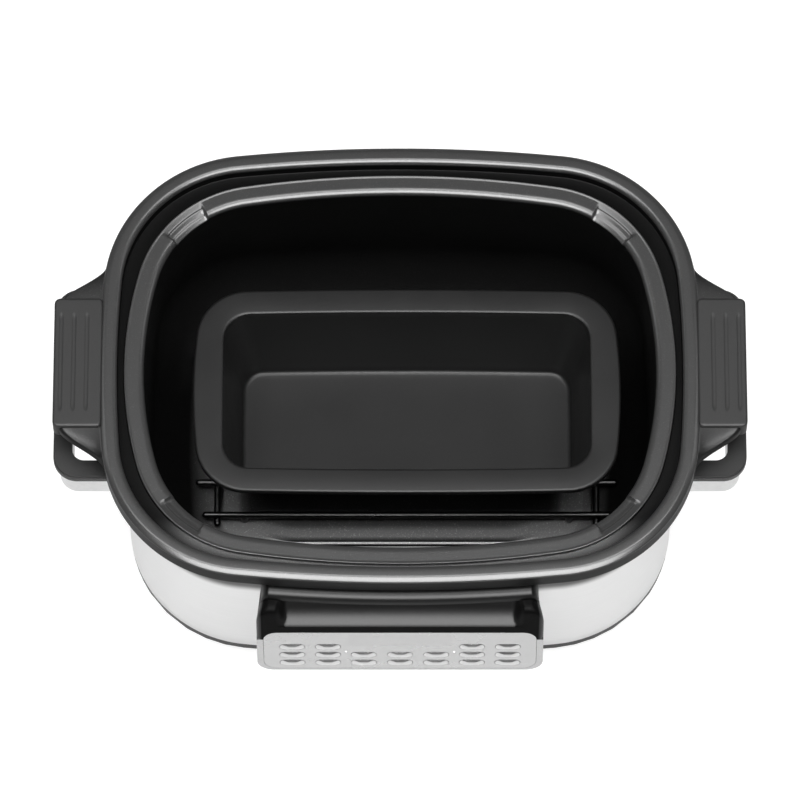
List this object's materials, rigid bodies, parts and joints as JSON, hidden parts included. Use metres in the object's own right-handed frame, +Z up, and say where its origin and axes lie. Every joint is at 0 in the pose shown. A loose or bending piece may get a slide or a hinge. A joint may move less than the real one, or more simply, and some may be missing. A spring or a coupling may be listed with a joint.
{
  "type": "multicooker",
  "caption": "Countertop multicooker with its lid off: an oval non-stick pot with gripped ears in a heated steel base with a button panel, holding a wire rack and a loaf pan.",
  "frame": {"origin": "centre of the whole cooker's footprint, on the table under the feet", "axes": "+X to the right ear, +Y to the back, +Z up; the control panel faces -Y"},
  "size_m": [0.403, 0.2925, 0.158],
  "materials": {
    "black_plastic": "fine moulded texture",
    "foot_rubber": "matte",
    "zinc_steel": "zinc plated",
    "wrap_steel": "brushed",
    "well_sheet": "rolled sheet",
    "cast_plate": "cast and turned",
    "element_tube": "oxidised tube",
    "circuit_board": "solder mask",
    "handle_black": "satin",
    "skirt_silver": "satin",
    "gloss_black": "gloss",
    "face_silver": "metallic paint",
    "display_lens": "gloss",
    "button_silver": "metallic paint",
    "pot_coating": "speckled non-stick coating",
    "grip_rubber": "silicone",
    "rack_wire": "bright plated wire",
    "pan_coating": "matte non-stick coating"
  },
  "bodies": {
    "base": {"base_tray": "black_plastic", "rubber_feet": "foot_rubber", "tray_screws": "zinc_steel", "steel_wrap": "wrap_steel", "top_collar": "black_plastic", "heating_well": "well_sheet", "heating_plate": "cast_plate", "heating_element": "element_tube", "sensor_spring": "zinc_steel", "power_board": "circuit_board", "cord_gland": "black_plastic", "left_handle_cap": "handle_black", "right_handle_cap": "handle_black", "left_handle_skirt": "skirt_silver", "right_handle_skirt": "skirt_silver", "control_housing": "gloss_black", "face_bezel": "face_silver", "control_face": "face_silver", "display_window": "display_lens", "display_module": "black_plastic", "control_board": "circuit_board", "button_switches": "black_plastic"},
    "pot": {"cooking_pot": "pot_coating", "left_grip": "grip_rubber", "right_grip": "grip_rubber"},
    "rack": {"wire_rack": "rack_wire"},
    "pan": {"loaf_pan": "pan_coating"},
    "sensor": {"sensor_cap": "cast_plate", "sensor_clip": "zinc_steel"},
    "button_a1": {"button_a1": "button_silver"},
    "button_a2": {"button_a2": "button_silver"},
    "button_a3": {"button_a3": "button_silver"},
    "button_b1": {"button_b1": "button_silver"},
    "button_b2": {"button_b2": "button_silver"},
    "button_b3": {"button_b3": "button_silver"},
    "button_c2": {"button_c2": "button_silver"},
    "button_c3": {"button_c3": "button_silver"},
    "button_d2": {"button_d2": "button_silver"},
    "button_d3": {"button_d3": "button_silver"},
    "button_e2": {"button_e2": "button_silver"},
    "button_e3": {"button_e3": "button_silver"},
    "button_f1": {"button_f1": "button_silver"},
    "button_f2": {"button_f2": "button_silver"},
    "button_f3": {"button_f3": "button_silver"},
    "button_g1": {"button_g1": "button_silver"},
    "button_g2": {"button_g2": "button_silver"},
    "button_g3": {"button_g3": "button_silver"}
  },
  "joints": [
    {"name": "pot_lift", "type": "slide", "parent": "base", "child": "pot", "axis": [0, 0, 1], "range_m": [0, 0.12]},
    {"name": "rack_lift", "type": "slide", "parent": "pot", "child": "rack", "axis": [0, 0, 1], "range_m": [0, 0.125]},
    {"name": "pan_lift", "type": "slide", "parent": "rack", "child": "pan", "axis": [0, 0, 1], "range_m": [0, 0.11]},
    {"name": "sensor_press", "type": "slide", "parent": "base", "child": "sensor", "axis": [0, 0, 1], "range_m": [-0.002, 0], "stiffness_N_per_m": 400, "springref_m": 0.002, "deforming": ["sensor_spring"]},
    {"name": "button_a1_press", "type": "slide", "parent": "base", "child": "button_a1", "axis": [0, 0.9848, -0.1736], "range_m": [0, 0.0008], "stiffness_N_per_m": 600, "springref_m": -0.0005},
    {"name": "button_a2_press", "type": "slide", "parent": "base", "child": "button_a2", "axis": [0, 0.9848, -0.1736], "range_m": [0, 0.0008], "stiffness_N_per_m": 600, "springref_m": -0.0005},
    {"name": "button_a3_press", "type": "slide", "parent": "base", "child": "button_a3", "axis": [0, 0.9848, -0.1736], "range_m": [0, 0.0008], "stiffness_N_per_m": 600, "springref_m": -0.0005},
    {"name": "button_b1_press", "type": "slide", "parent": "base", "child": "button_b1", "axis": [0, 0.9848, -0.1736], "range_m": [0, 0.0008], "stiffness_N_per_m": 600, "springref_m": -0.0005},
    {"name": "button_b2_press", "type": "slide", "parent": "base", "child": "button_b2", "axis": [0, 0.9848, -0.1736], "range_m": [0, 0.0008], "stiffness_N_per_m": 600, "springref_m": -0.0005},
    {"name": "button_b3_press", "type": "slide", "parent": "base", "child": "button_b3", "axis": [0, 0.9848, -0.1736], "range_m": [0, 0.0008], "stiffness_N_per_m": 600, "springref_m": -0.0005},
    {"name": "button_c2_press", "type": "slide", "parent": "base", "child": "button_c2", "axis": [0, 0.9848, -0.1736], "range_m": [0, 0.0008], "stiffness_N_per_m": 600, "springref_m": -0.0005},
    {"name": "button_c3_press", "type": "slide", "parent": "base", "child": "button_c3", "axis": [0, 0.9848, -0.1736], "range_m": [0, 0.0008], "stiffness_N_per_m": 600, "springref_m": -0.0005},
    {"name": "button_d2_press", "type": "slide", "parent": "base", "child": "button_d2", "axis": [0, 0.9848, -0.1736], "range_m": [0, 0.0008], "stiffness_N_per_m": 600, "springref_m": -0.0005},
    {"name": "button_d3_press", "type": "slide", "parent": "base", "child": "button_d3", "axis": [0, 0.9848, -0.1736], "range_m": [0, 0.0008], "stiffness_N_per_m": 600, "springref_m": -0.0005},
    {"name": "button_e2_press", "type": "slide", "parent": "base", "child": "button_e2", "axis": [0, 0.9848, -0.1736], "range_m": [0, 0.0008], "stiffness_N_per_m": 600, "springref_m": -0.0005},
    {"name": "button_e3_press", "type": "slide", "parent": "base", "child": "button_e3", "axis": [0, 0.9848, -0.1736], "range_m": [0, 0.0008], "stiffness_N_per_m": 600, "springref_m": -0.0005},
    {"name": "button_f1_press", "type": "slide", "parent": "base", "child": "button_f1", "axis": [0, 0.9848, -0.1736], "range_m": [0, 0.0008], "stiffness_N_per_m": 600, "springref_m": -0.0005},
    {"name": "button_f2_press", "type": "slide", "parent": "base", "child": "button_f2", "axis": [0, 0.9848, -0.1736], "range_m": [0, 0.0008], "stiffness_N_per_m": 600, "springref_m": -0.0005},
    {"name": "button_f3_press", "type": "slide", "parent": "base", "child": "button_f3", "axis": [0, 0.9848, -0.1736], "range_m": [0, 0.0008], "stiffness_N_per_m": 600, "springref_m": -0.0005},
    {"name": "button_g1_press", "type": "slide", "parent": "base", "child": "button_g1", "axis": [0, 0.9848, -0.1736], "range_m": [0, 0.0008], "stiffness_N_per_m": 600, "springref_m": -0.0005},
    {"name": "button_g2_press", "type": "slide", "parent": "base", "child": "button_g2", "axis": [0, 0.9848, -0.1736], "range_m": [0, 0.0008], "stiffness_N_per_m": 600, "springref_m": -0.0005},
    {"name": "button_g3_press", "type": "slide", "parent": "base", "child": "button_g3", "axis": [0, 0.9848, -0.1736], "range_m": [0, 0.0008], "stiffness_N_per_m": 600, "springref_m": -0.0005}
  ]
}
